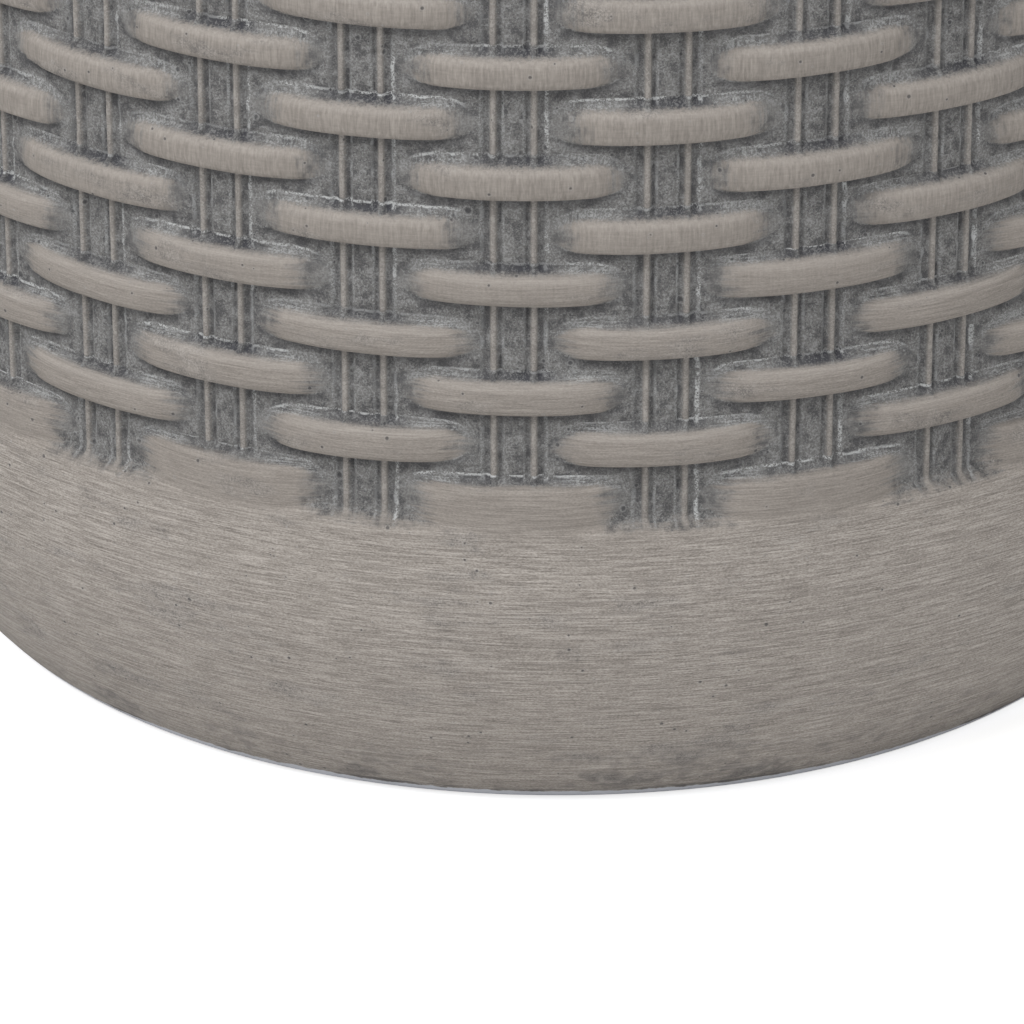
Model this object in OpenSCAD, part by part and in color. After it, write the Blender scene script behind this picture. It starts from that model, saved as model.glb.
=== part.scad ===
// Outdoor side table: a hollow cast drum with a moulded basket weave between
// two plain bands, a bonded top slab, a fibre lining and four rubber pads.
// Millimetres. +Z is up. The origin is the centre of the footprint, on the floor.

/* [Drum] */
// Height of the table, from the floor to the top face
overall_h = 450; // [430:5:480]
// Diameter at the crests of the weave and at the widest part of the bands
drum_d = 416; // [400:2:430]
// Diameter of the lower outer edge, and of the upper one
end_d = 350; // [340:2:360]
// Height over which each end curves in
curve_h = 80; // [76:1:86]
// Thickness of the cast wall at the plain bands
wall_t = 15; // [13:0.5:17]
// Height of each plain band
band_h = 95; // [92:1:100]

/* [Weave] */
// Number of upright stakes around the drum, an even number
stake_count = 32; // [30, 32, 34]
// Target distance from one row of weavers to the next
row_target = 15.3; // [15:0.1:17]
// Depth of the recesses between the weavers
relief_t = 6; // [5:0.25:6.5]
// Height of the flat face of a weaver
weaver_h = 9; // [8:0.1:9.4]
// Height of the slope above that face
weaver_slope_h = 2.2; // [1.8:0.1:2.8]
// Length of a weaver where it stands clear of the wall
weaver_len = 62; // [58:1:64]
// Bevel on the lower edge of a weaver
weaver_bevel = 1.2; // [0.8:0.1:1.6]
// How far the crests of the weavers stay back from the face of the bands
crest_back = 0.4; // [0.2:0.1:0.8]
// Distance between the two rails of a stake
rail_gap = 10.8; // [9:0.2:12]
// Width of a rail where it leaves the wall
rail_w = 2.6; // [2:0.1:3.4]
// How far a rail stands out of the wall
rail_h = 1.2; // [0.8:0.1:1.6]

/* [Top] */
// Thickness of the top slab at its edge
slab_t = 22; // [18:1:26]
// Radius of the slab's upper edge
slab_edge_r = 7; // [5:0.5:9]
// Thickness of the adhesive bed between wall and slab
bed_t = 1.5; // [1:0.25:2]
// How far the adhesive bed stays back from the outer face
bed_inset = 2; // [1:0.5:3]
// Depth of the register under the slab
register_h = 8; // [6:1:12]
// Clearance of the register inside the wall
register_gap = 2; // [1:0.5:3]
// Width of the register's ring
register_w = 14; // [10:1:20]

/* [Foot] */
// Width of the foot ring on the floor side
foot_w = 30; // [28:1:36]
// Height of the foot ring
foot_h = 14; // [12:1:18]
// Width of the bevel on the lower outer edge
foot_bevel = 1.2; // [0.8:0.1:2]
// Number of rubber pads
pad_count = 4; // [3:1:6]
// Diameter of a pad
pad_d = 20; // [18:0.5:22]
// Thickness of a pad
pad_t = 3; // [2.5:0.25:4]
// How far a pad stands out of the foot ring
pad_proud = 0.8; // [0.6:0.1:1.2]

/* [Lining] */
// Thickness of the glass-fibre lining
lining_t = 1.5; // [1:0.25:2]

/* [Hidden] */
pad_names = [for (i = [1 : pad_count]) str("foot_pad_", i)];
$fn = 96;

drum_r = drum_d / 2;
end_r = end_d / 2;
draw_in = drum_r - end_r;
curve_r = (curve_h * curve_h + draw_in * draw_in) / (2 * draw_in);
curve_x = drum_r - curve_r;
base_z = pad_proud;
low_curve_z = base_z + curve_h;
high_curve_z = overall_h - curve_h;

slab_z = overall_h - slab_t;
rim_z = slab_z - bed_t;
register_z = slab_z - register_h;

weave_z = base_z + band_h;
weave_top_z = overall_h - band_h;
weave_h = weave_top_z - weave_z;
row_count = 2 * round((weave_h / row_target - 1) / 2) + 1;
row_pitch = weave_h / row_count;
stake_step = 360 / stake_count;
front = -90;
crest_r = drum_r - crest_back;
ground_r = drum_r - relief_t;
shoulder_h = relief_t * 0.8;

weaver_half = weaver_len / 2;
weaver_drop = crest_r - sqrt(ground_r * ground_r - weaver_half * weaver_half);
weaver_r = (weaver_half * weaver_half + weaver_drop * weaver_drop) / (2 * weaver_drop);
weaver_x = crest_r - weaver_r;
weaver_rise = crest_r - ground_r;
weaver_sunk = 0.6;
weaver_back = weaver_drop + weaver_sunk;
weaver_spare = 2;
band_overlap = 1;
band_join = (row_pitch - weaver_h) / 2 + shoulder_h + band_overlap;

rail_angle = asin(rail_gap / 2 / ground_r);
rail_sunk = 1;
rail_slant = rail_w / 4 / rail_h;
rail_root = rail_w / 2 + rail_sunk * rail_slant;
rail_crest = rail_w / 4;

foot_inner_r = end_r - foot_w;
pad_ring_r = end_r - foot_w / 2;
pad_pocket_h = pad_t - pad_proud;

cast_colour = [0.60, 0.57, 0.54];
top_colour = [0.62, 0.59, 0.56];
lining_colour = [0.72, 0.72, 0.70];
adhesive_colour = [0.42, 0.43, 0.44];
rubber_colour = [0.12, 0.12, 0.12];

// Radius of the wall's inner face at a height in the upper curved end
function inner_radius(z) = curve_x + sqrt(pow(curve_r - wall_t, 2) - pow(z - high_curve_z, 2));

// Half outline of the solid drum, its ends curved in, less offset_in all round
module drum_outline(offset_in = 0) {
    r = curve_r - offset_in;
    translate([0, low_curve_z])
        square([drum_r - offset_in, high_curve_z - low_curve_z]);
    for (z = [low_curve_z, high_curve_z]) {
        intersection() {
            translate([curve_x, z])
                circle(r = r);
            translate([curve_x, base_z])
                square([r, overall_h - base_z]);
        }
    }
    translate([0, base_z])
        square([curve_x, overall_h - base_z]);
}

// Band of the half plane between two heights
module between(low, high) {
    translate([0, low])
        square([drum_r + 1, high - low]);
}

// Ring cut away where the weave lies, with a sloping shoulder at each band
module weave_ground() {
    polygon([
        [drum_r + 1, weave_z - shoulder_h],
        [drum_r, weave_z - shoulder_h],
        [ground_r, weave_z],
        [ground_r, weave_top_z],
        [drum_r, weave_top_z + shoulder_h],
        [drum_r + 1, weave_top_z + shoulder_h]
    ]);
}

// One weaver, turned about an upright axis behind the wall: a flat face with a
// bevel below and a slope above. Its arc is tighter than the drum's, so that
// both ends dive into the wall.
module weaver(below = 0, above = 0) {
    low = -weaver_h / 2 - below;
    high = weaver_h / 2 + above;
    slope_h = above > 0 ? 0 : weaver_slope_h;
    intersection() {
        translate([crest_r - weaver_back, -weaver_half - weaver_spare, low])
            cube([weaver_back, weaver_len + 2 * weaver_spare, high + slope_h - low]);
        translate([weaver_x, 0, low])
            weaver_disc(high - low, slope_h);
    }
}

// The disc whose rim a weaver is: bevel, face and slope, stacked
module weaver_disc(face_h, slope_h) {
    cylinder(r1 = weaver_r - weaver_bevel, r2 = weaver_r, h = weaver_bevel);
    translate([0, 0, weaver_bevel])
        cylinder(r = weaver_r, h = face_h - weaver_bevel);
    if (slope_h > 0)
        translate([0, 0, face_h])
            cylinder(r1 = weaver_r, r2 = weaver_r - weaver_rise, h = slope_h);
}

// Row after row of weavers, each over every second stake. The first and the
// last row run on into the bands.
module weavers() {
    for (row = [0 : row_count - 1]) {
        z = weave_z + (row + 0.5) * row_pitch;
        below = row == 0 ? band_join : 0;
        above = row == row_count - 1 ? band_join : 0;
        for (stake = [row % 2 : 2 : stake_count - 1])
            rotate([0, 0, front + stake * stake_step])
                translate([0, 0, z])
                    weaver(below, above);
    }
}

// Two slim rails on each stake, from band to band, with slanted sides
module rails() {
    for (stake = [0 : stake_count - 1], side = [-1, 1])
        rotate([0, 0, front + stake * stake_step + side * rail_angle])
            translate([ground_r, 0, weave_z - shoulder_h])
                linear_extrude(weave_h + 2 * shoulder_h)
                    polygon([
                        [-rail_sunk, -rail_root],
                        [rail_h, -rail_crest],
                        [rail_h, rail_crest],
                        [-rail_sunk, rail_root]
                    ]);
}

module drum_wall() {
    rotate_extrude()
        difference() {
            union() {
                intersection() {
                    difference() {
                        drum_outline();
                        drum_outline(wall_t);
                    }
                    between(base_z, rim_z);
                }
                intersection() {
                    drum_outline();
                    translate([foot_inner_r, base_z])
                        square([drum_r, foot_h]);
                }
            }
            weave_ground();
            polygon([
                [end_r - foot_bevel, base_z - 1],
                [end_r - foot_bevel, base_z],
                [end_r + foot_bevel, base_z + foot_bevel * 2],
                [end_r + foot_bevel, base_z - 1]
            ]);
        }
}

module at_pad(i) {
    rotate([0, 0, (i - 0.5) * 360 / pad_count])
        translate([pad_ring_r, 0, 0])
            children();
}

module woven_drum() {
    color(cast_colour)
        difference() {
            union() {
                drum_wall();
                weavers();
                rails();
            }
            for (i = [1 : pad_count])
                at_pad(i)
                    cylinder(d = pad_d, h = base_z + pad_pocket_h);
        }
}

// Glass-fibre cloth laid against the inner face, from the foot ring to the rim
module fibre_lining() {
    color(lining_colour)
        rotate_extrude()
            intersection() {
                difference() {
                    drum_outline(wall_t);
                    drum_outline(wall_t + lining_t);
                }
                between(base_z + foot_h, register_z - register_gap);
            }
}

module adhesive_bed() {
    color(adhesive_colour)
        rotate_extrude()
            intersection() {
                difference() {
                    drum_outline(bed_inset);
                    drum_outline(wall_t);
                }
                between(rim_z, slab_z);
            }
}

// What the rounded upper edge takes off: the corner outside a circle that
// touches both the flat top and the drum's curve
module slab_corner() {
    rise = curve_h - slab_edge_r;
    run = sqrt(pow(curve_r - slab_edge_r, 2) - rise * rise);
    translate([curve_x + run, high_curve_z + rise])
        difference() {
            polygon([
                [0, 0],
                [0, 2 * slab_edge_r],
                [4 * slab_edge_r, 2 * slab_edge_r],
                [run / 2, rise / 2]
            ]);
            circle(r = slab_edge_r);
        }
}

// Top slab, the drum's curve carried on over its edge, with a ring that
// drops inside the wall
module table_top() {
    register_r = inner_radius(rim_z) - register_gap;
    color(top_colour)
        rotate_extrude() {
            difference() {
                intersection() {
                    drum_outline();
                    between(slab_z, overall_h);
                }
                slab_corner();
            }
            translate([register_r - register_w, register_z])
                square([register_w, register_h]);
        }
}

module foot_pad(i) {
    color(rubber_colour)
        at_pad(i)
            cylinder(d = pad_d, h = pad_t);
}

woven_drum();
fibre_lining();
adhesive_bed();
table_top();
for (i = [1 : pad_count]) foot_pad(i);
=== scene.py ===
import math

import bmesh
import bpy
from mathutils import Matrix, Vector


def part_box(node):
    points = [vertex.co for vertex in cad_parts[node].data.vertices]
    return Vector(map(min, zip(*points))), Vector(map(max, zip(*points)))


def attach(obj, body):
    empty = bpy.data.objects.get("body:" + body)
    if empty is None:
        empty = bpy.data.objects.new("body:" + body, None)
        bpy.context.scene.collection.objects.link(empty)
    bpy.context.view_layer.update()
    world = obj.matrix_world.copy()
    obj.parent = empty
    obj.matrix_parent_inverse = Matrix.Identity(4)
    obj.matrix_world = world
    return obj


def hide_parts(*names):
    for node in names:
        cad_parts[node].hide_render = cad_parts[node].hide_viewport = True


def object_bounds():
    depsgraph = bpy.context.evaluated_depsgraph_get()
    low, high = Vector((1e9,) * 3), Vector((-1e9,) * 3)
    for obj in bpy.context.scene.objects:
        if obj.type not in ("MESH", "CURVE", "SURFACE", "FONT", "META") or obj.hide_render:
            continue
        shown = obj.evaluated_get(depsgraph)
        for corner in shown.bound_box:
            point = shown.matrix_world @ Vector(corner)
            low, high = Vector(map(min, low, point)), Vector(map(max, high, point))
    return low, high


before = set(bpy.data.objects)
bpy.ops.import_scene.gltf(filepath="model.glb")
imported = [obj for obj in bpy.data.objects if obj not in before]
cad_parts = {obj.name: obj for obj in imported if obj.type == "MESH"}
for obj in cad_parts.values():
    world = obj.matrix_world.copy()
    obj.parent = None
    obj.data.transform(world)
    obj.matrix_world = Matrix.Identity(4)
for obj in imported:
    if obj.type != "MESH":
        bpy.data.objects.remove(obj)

from types import SimpleNamespace

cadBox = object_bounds()
scene = bpy.context.scene
scene.view_settings.view_transform = "Standard"

# The drum as the CAD has it, in metres
drum = {
    "crestRadius": 0.208,
    "endRadius": 0.175,
    "curveHeight": 0.080,
    "wall": 0.015,
    "bandHeight": 0.095,
    "padProud": 0.0008,
    "padThickness": 0.003,
    "padDiameter": 0.020,
    "footWidth": 0.030,
    "footHeight": 0.014,
    "footBevel": 0.0012,
    "slabThickness": 0.022,
    "slabEdge": 0.007,
    "bedThickness": 0.0015,
    "bedInset": 0.002,
    "registerHeight": 0.008,
    "registerGap": 0.002,
    "registerWidth": 0.014,
    "lining": 0.0015,
}
tableHeight = cadBox[1][2]
drawIn = drum["crestRadius"] - drum["endRadius"]
curveRadius = (drum["curveHeight"] ** 2 + drawIn ** 2) / (2 * drawIn)
curveCentre = drum["crestRadius"] - curveRadius
lowCurve = drum["padProud"] + drum["curveHeight"]
highCurve = tableHeight - drum["curveHeight"]
weaveBase = drum["padProud"] + drum["bandHeight"]
weaveTop = tableHeight - drum["bandHeight"]
slabBottom = tableHeight - drum["slabThickness"]
rimHeight = slabBottom - drum["bedThickness"]

# The basket weave, in metres: each value is an input of its node group
weave = {
    "stakes": 32,
    "rows": 17,
    "base": weaveBase,
    "crestRadius": drum["crestRadius"],
    "relief": 0.0056,       # crest of a weaver above the deepest ground
    "faceHeight": 0.0094,
    "slopeHeight": 0.0023,
    "lowerEdge": 0.0011,    # height over which a weaver's lower edge falls away
    "reach": 0.0318,        # half length of a weaver
    "archPower": 2.6,       # how late a weaver dives into the wall
    "endRound": 0.0075,
    "faceRounding": 0.0009,
    "behind": 0.0010,       # level of the weavers that pass behind a stake
    "weaverBlend": 0.0010,
    "stripLevel": 0.0012,
    "stripHalfWidth": 0.0027,
    "stripEdge": 0.0007,
    "grooveEdge": 0.0087,   # where the weavers behind a stake begin
    "grooveFall": 0.0006,
    "railGap": 0.0108,
    "railWidth": 0.0031,
    "railHeight": 0.0019,
    "railRearing": 0.0016,  # more height where a weaver leans on the rail
    "stakeBlend": 0.0006,
    "shoulder": 0.0036,     # height over which a band falls to the ground
    "shoulderLap": 0.0012,
    "bandBlend": 0.0018,
    "wander": 0.0005,       # how far a weaver strays from its row
    "seed": 7,
}
rowPitch = (weaveTop - weaveBase) / weave["rows"]
weave["rowPitch"] = rowPitch

# How much the weavers differ, as shares of their sizes
differ = {
    "alongRow": 2.2,        # as a multiple of wander
    "tilt": 0.012,
    "fatness": 0.06,
    "reach": 0.05,
    "crestLoss": 0.07,
}

# Unevenness of the cast skin, in metres and in waves per metre
unevenSkin = {
    "grain": 0.00010,
    "groundGrain": 0.00060,
    "grainScale": 420.0,
    "strands": 0.0016,
    "strandScale": (60.0, 60.0, 750.0),
    "strandsFrom": (0.0085, 0.0105),    # from a stake's centre
    "groundLevel": (0.0012, 0.0032),    # above the deepest ground
    "wave": 0.0007,
    "waveScale": 16.0,
}


def radiusAt(z, inset=0.0):
    past = max(lowCurve - z, z - highCurve, 0.0)
    return curveCentre + math.sqrt((curveRadius - inset) ** 2 - past ** 2)


def evenSteps(start, end, count):
    return [start + (end - start) * i / count for i in range(count + 1)]


def putInScene(name, data):
    obj = bpy.data.objects.new(name, data)
    scene.collection.objects.link(obj)
    return obj


def meshObject(name, verts, faces, smoothAngle=45):
    mesh = bpy.data.meshes.new(name)
    mesh.from_pydata(verts, [], faces)
    mesh.update()
    softenMesh(mesh, smoothAngle)
    return putInScene(name, mesh)


def softenMesh(mesh, smoothAngle):
    bm = bmesh.new()
    bm.from_mesh(mesh)
    for face in bm.faces:
        face.smooth = True
    limit = math.radians(smoothAngle)
    for edge in bm.edges:
        if len(edge.link_faces) == 2:
            edge.smooth = edge.calc_face_angle(0.0) < limit
    bm.to_mesh(mesh)
    bm.free()


# Small helpers for node trees

def linkOrSet(tree, socket, value):
    if isinstance(value, bpy.types.NodeSocket):
        tree.links.new(value, socket)
    else:
        socket.default_value = value


def newNode(tree, kind, inputs=None, **settings):
    node = tree.nodes.new(kind)
    for key, value in settings.items():
        setattr(node, key, value)
    for key, value in (inputs or {}).items():
        linkOrSet(tree, node.inputs[key], value)
    return node


def noise(tree, vector, scale, detail=2.0, roughness=0.5):
    inputs = {"Vector": vector, "Scale": scale, "Detail": detail, "Roughness": roughness}
    return newNode(tree, "ShaderNodeTexNoise", inputs).outputs[0]


def emptyTree(owner):
    owner.use_nodes = True
    owner.node_tree.nodes.clear()
    return owner.node_tree


def partsOf(tree, vector):
    return newNode(tree, "ShaderNodeSeparateXYZ", {0: vector}).outputs


def vectorSum(tree, operation, inputs):
    return newNode(tree, "ShaderNodeVectorMath", inputs, operation=operation).outputs[0]


class Sums:
    # Arithmetic on sockets of one tree, shader or geometry

    def __init__(self, tree):
        self.tree = tree

    def op(self, operation, *values):
        return newNode(self.tree, "ShaderNodeMath", dict(enumerate(values)), operation=operation).outputs[0]

    def chain(self, operation, values):
        total = values[0]
        for value in values[1:]:
            total = self.op(operation, total, value)
        return total

    def add(self, *values):
        return self.chain("ADD", values)

    def mul(self, *values):
        return self.chain("MULTIPLY", values)

    def most(self, *values):
        return self.chain("MAXIMUM", values)

    def least(self, *values):
        return self.chain("MINIMUM", values)

    def sub(self, a, b):
        return self.op("SUBTRACT", a, b)

    def div(self, a, b):
        return self.op("DIVIDE", a, b)

    def size(self, a):
        return self.op("ABSOLUTE", a)

    def inverse(self, a):
        return self.op("SUBTRACT", 1.0, a)

    def centred(self, a):
        return self.op("SUBTRACT", a, 0.5)

    def ramp(self, value, start, end, low=0.0, high=1.0, smooth=True):
        inputs = dict(enumerate((value, start, end, low, high)))
        way = "SMOOTHSTEP" if smooth else "LINEAR"
        return newNode(self.tree, "ShaderNodeMapRange", inputs, clamp=True, interpolation_type=way).outputs[0]

    def fall(self, value, start, end):
        return self.inverse(self.ramp(value, start, end))

    def nearLine(self, value, centre, halfWidth):
        # 1 on a line, falling to 0 at halfWidth from it
        return self.fall(self.size(self.sub(value, centre)), halfWidth * 0.25, halfWidth)


def newTree(name, kind, sockets, outputs):
    tree = bpy.data.node_groups.new(name, kind)
    for label, socketType, value in sockets:
        item = tree.interface.new_socket(label, in_out="INPUT", socket_type=socketType)
        if value is not None:
            item.default_value = value
    for label, socketType in outputs:
        tree.interface.new_socket(label, in_out="OUTPUT", socket_type=socketType)
    given = newNode(tree, "NodeGroupInput").outputs
    return tree, given, Sums(tree)


# Where a point lies in the weave: on its row, on its weaver and on its stake

def placeInWeave(s, point, given):
    x, y, z = point
    angle = s.op("ARCTAN2", x, s.mul(y, -1.0))
    columns = s.div(s.mul(angle, given["stakes"]), 2 * math.pi)
    spacing = s.div(s.mul(given["crestRadius"], 2 * math.pi), given["stakes"])
    lastRow = s.sub(given["rows"], 1.0)
    rowPlace = s.div(s.sub(z, given["base"]), given["rowPitch"])
    row = s.least(s.most(s.op("FLOOR", rowPlace), 0.0), lastRow)
    middle = s.add(given["base"], s.mul(s.add(row, 0.5), given["rowPitch"]))
    odd = s.op("FLOORED_MODULO", row, 2.0)
    own = s.add(s.mul(s.op("ROUND", s.div(s.sub(columns, odd), 2.0)), 2.0), odd)
    return SimpleNamespace(
        angle=angle,
        row=row,
        isFirst=s.op("LESS_THAN", row, 0.5),
        isLast=s.op("GREATER_THAN", row, s.sub(lastRow, 0.5)),
        own=s.op("FLOORED_MODULO", own, given["stakes"]),
        rise=s.sub(z, middle),
        along=s.mul(s.sub(columns, own), spacing),
        side=s.mul(s.sub(columns, s.op("ROUND", columns)), spacing),
    )


def weaverHalfHeight(s, away, reach, fatness, given):
    # a weaver keeps its height along its middle and draws in over its ends
    endLength = s.mul(given["endRound"], 1.6)
    past = s.div(s.most(s.sub(away, s.sub(reach, endLength)), 0.0), given["endRound"])
    drawn = s.op("SQRT", s.most(s.inverse(s.mul(past, past, 0.5)), 0.15))
    return s.mul(given["faceHeight"], 0.5, fatness, drawn)


# Geometry Nodes: the weave relief pressed into the drum's skin

def strayingWeaver(tree, s, place, given):
    # each weaver strays a little, as hand-laid strands do
    weaverId = s.add(s.mul(place.row, 100.0), place.own)

    def chance(low, high, offset):
        inputs = {2: low, 3: high, "ID": weaverId, "Seed": s.add(given["seed"], offset)}
        return newNode(tree, "FunctionNodeRandomValue", inputs, data_type="FLOAT").outputs[1]

    def around(middle, spread, offset):
        return chance(middle - spread, middle + spread, offset)

    lift = s.mul(around(0.0, 1.0, 0), given["wander"])
    tilt = around(0.0, differ["tilt"], 2)
    along = s.add(place.along, s.mul(around(0.0, differ["alongRow"], 1), given["wander"]))
    return SimpleNamespace(
        lift=lift,
        tilt=tilt,
        fatness=around(1.0, differ["fatness"], 3),
        away=s.size(along),
        across=s.sub(s.sub(place.rise, lift), s.mul(along, tilt)),
        reach=s.mul(given["reach"], around(1.0, differ["reach"], 4)),
        crest=s.mul(given["relief"], chance(1.0 - differ["crestLoss"], 1.0, 5)),
        chance=chance(0.0, 1.0, 6),
    )


def weaverLevel(s, strand, place, given):
    arch = s.inverse(s.op("POWER", s.div(strand.away, strand.reach), given["archPower"]))
    crest = s.mul(strand.crest, arch)
    halfFace = weaverHalfHeight(s, strand.away, strand.reach, strand.fatness, given)
    # the first and the last row run on flat into the bands
    farAway = 9.0
    halves = s.most(s.div(strand.across, halfFace), s.mul(s.inverse(place.isFirst), -farAway))
    halves = s.least(halves, s.mul(s.inverse(place.isLast), farAway))
    rounding = s.mul(halves, halves, given["faceRounding"])
    face = s.sub(s.op("SMOOTH_MAX", crest, given["behind"], given["weaverBlend"]), rounding)
    upperPast = s.div(s.sub(strand.across, halfFace), given["slopeHeight"])
    lowerPast = s.div(s.sub(s.mul(strand.across, -1.0), halfFace), given["lowerEdge"])
    upperFall = s.mul(s.ramp(upperPast, -0.5, 1.0), s.inverse(place.isLast))
    lowerFall = s.mul(s.ramp(lowerPast, -0.7, 1.0), s.inverse(place.isFirst))
    return s.mul(face, s.mul(s.inverse(upperFall), s.inverse(lowerFall))), upperPast


def stakeLevel(s, strand, upperPast, off, given):
    # a flat strip between two slim rails, with a groove along each
    stripEdge = s.add(given["stripHalfWidth"], given["stripEdge"])
    strip = s.mul(given["stripLevel"], s.fall(off, given["stripHalfWidth"], stripEdge))
    grooveStart = s.sub(given["grooveEdge"], given["grooveFall"])
    beside = s.mul(given["behind"], s.ramp(off, grooveStart, given["grooveEdge"]))
    fromRail = s.size(s.sub(off, s.mul(given["railGap"], 0.5)))
    railOff = s.div(fromRail, s.mul(given["railWidth"], 0.5))
    onSlope = s.mul(s.ramp(upperPast, 0.95, 0.1), s.ramp(strand.across, -0.001, 0.001))
    ownStake = s.fall(strand.away, 0.009, 0.014)
    rearing = s.mul(onSlope, ownStake, given["railRearing"])
    rail = s.mul(s.add(given["railHeight"], rearing), s.fall(railOff, 0.25, 1.15))
    return s.most(strip, beside, rail)


def bandLevel(s, z, given):
    # the plain bands stand level with the crests
    topRow = s.add(given["base"], s.mul(given["rows"], given["rowPitch"]))
    lowStart = s.sub(given["base"], given["shoulderLap"])
    lowBand = s.fall(z, lowStart, s.add(given["base"], given["shoulder"]))
    highStart = s.sub(topRow, given["shoulder"])
    highBand = s.ramp(z, highStart, s.add(topRow, given["shoulderLap"]))
    return s.mul(given["relief"], s.most(lowBand, highBand))


def skinUnevenness(tree, s, position, level, off):
    # grain, deeper in the recesses; strands beside the stakes; a slow wave over all
    grain = noise(tree, position, unevenSkin["grainScale"], 3.0, 0.6)
    drawnOut = vectorSum(tree, "MULTIPLY", {0: position, 1: unevenSkin["strandScale"]})
    strands = noise(tree, drawnOut, 1.0)
    inGround = s.fall(level, *unevenSkin["groundLevel"])
    grainDepth = s.add(unevenSkin["grain"], s.mul(inGround, unevenSkin["groundGrain"]))
    strandDepth = s.mul(s.ramp(off, *unevenSkin["strandsFrom"]), unevenSkin["strands"])
    rough = s.add(s.mul(s.centred(grain), grainDepth), s.mul(s.centred(strands), inGround, strandDepth))
    wave = s.mul(s.sub(noise(tree, position, unevenSkin["waveScale"]), 1.0), unevenSkin["wave"])
    return rough, wave


def weaveTree():
    sockets = [("Geometry", "NodeSocketGeometry", None), ("Material", "NodeSocketMaterial", None)]
    for name, value in weave.items():
        sockets.append((name, "NodeSocketInt" if isinstance(value, int) else "NodeSocketFloat", value))
    outputs = [("Geometry", "NodeSocketGeometry")]
    tree, given, s = newTree("basketWeaveRelief", "GeometryNodeTree", sockets, outputs)
    position = newNode(tree, "GeometryNodeInputPosition").outputs[0]
    point = partsOf(tree, position)
    place = placeInWeave(s, point, given)
    off = s.size(place.side)
    strand = strayingWeaver(tree, s, place, given)
    weaver, upperPast = weaverLevel(s, strand, place, given)
    stake = stakeLevel(s, strand, upperPast, off, given)
    woven = s.op("SMOOTH_MAX", weaver, stake, given["stakeBlend"])
    level = s.op("SMOOTH_MAX", woven, bandLevel(s, point[2], given), given["bandBlend"])

    rough, wave = skinUnevenness(tree, s, position, level, off)
    skin = newNode(tree, "GeometryNodeInputNamedAttribute", {"Name": "skin"}, data_type="FLOAT").outputs[0]
    sunk = s.sub(s.least(level, given["relief"]), given["relief"])
    depth = s.least(s.mul(s.add(sunk, rough, wave), skin), 0.0)
    towards = {0: s.op("SINE", place.angle), 1: s.mul(s.op("COSINE", place.angle), -1.0), 2: 0.0}
    outward = newNode(tree, "ShaderNodeCombineXYZ", towards).outputs[0]
    offset = vectorSum(tree, "SCALE", {0: outward, "Scale": depth})

    # values that the finish follows
    geometry = given["Geometry"]
    kept = {
        "lift": strand.lift,
        "tilt": strand.tilt,
        "fatness": strand.fatness,
        "span": strand.reach,
        "chance": strand.chance,
    }
    for label, value in kept.items():
        inputs = {"Geometry": geometry, "Name": label, "Value": s.mul(value, skin)}
        store = newNode(tree, "GeometryNodeStoreNamedAttribute", inputs, data_type="FLOAT", domain="POINT")
        geometry = store.outputs[0]
    moved = newNode(tree, "GeometryNodeSetPosition", {"Geometry": geometry, "Offset": offset})
    whole = newNode(tree, "GeometryNodeRealizeInstances", {"Geometry": moved.outputs[0]})
    cover = {"Geometry": whole.outputs[0], "Material": given["Material"]}
    painted = newNode(tree, "GeometryNodeSetMaterial", cover)
    newNode(tree, "NodeGroupOutput", {0: painted.outputs[0]})
    return tree


def bakeNodes(obj, tree, values):
    modifier = obj.modifiers.new(tree.name, "NODES")
    modifier.node_group = tree
    ids = {item.name: item.identifier for item in tree.interface.items_tree
           if item.item_type == "SOCKET" and item.in_out == "INPUT"}
    for label, value in values.items():
        modifier[ids[label]] = value
    graph = bpy.context.evaluated_depsgraph_get()
    graph.update()
    baked = obj.evaluated_get(graph)
    made = bpy.data.meshes.new_from_object(baked, preserve_all_data_layers=True, depsgraph=graph)
    obj.modifiers.clear()
    old = obj.data
    obj.data = made
    made.name = obj.name
    bpy.data.meshes.remove(old)


# Materials

finish = {
    "taupe": (0.355, 0.322, 0.291, 1.0),
    "taupeDark": (0.205, 0.184, 0.165, 1.0),
    # the light taupe also paints the highlights on the weavers' tops and the rails' crests
    "taupeLight": (0.545, 0.503, 0.465, 1.0),
    "ground": (0.188, 0.185, 0.181, 1.0),
    # the dark grey also paints the shade in the creases and under the weavers
    "groundDark": (0.060, 0.060, 0.065, 1.0),
    "groundLight": (0.375, 0.377, 0.375, 1.0),
    # painted shade of the hollows above the weavers, with their dark pigment
    "hollowShadeAndPigment": (0.057, 0.058, 0.067, 1.0),
    # pale scuffs, and the painted highlights along edges
    "paleScuffAndHighlight": (0.640, 0.650, 0.650, 1.0),
    "rail": (0.305, 0.282, 0.260, 1.0),
    "bodyDark": (0.140, 0.137, 0.134, 1.0),
    "bodyLight": (0.262, 0.254, 0.244, 1.0),
    # bare cast edge, painted pale with the white floor's light
    "bareEdgeAndFloorLight": (0.700, 0.720, 0.780, 1.0),
}

# How strongly each mark covers what lies under it
strength = {
    "streak": 0.30,
    "thinCoat": 0.22,
    "thinDark": 0.45,
    "thinLight": 0.30,
    "crown": 0.18,
    "groundDark": 0.65,
    "groundLight": 0.55,
    "body": 0.55,
    "blotch": 0.30,
    "groove": 0.24,
    "under": 0.50,
    "rail": 0.68,
    "railCrest": 0.36,
    "scuff": 0.46,
    "seam": 0.85,
    "bubble": 0.75,
    "bubbleRim": 0.45,
    "pit": 0.72,
    "pitRim": 0.35,
    "smudge": 0.36,
    "darkLine": 0.60,
}

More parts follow.
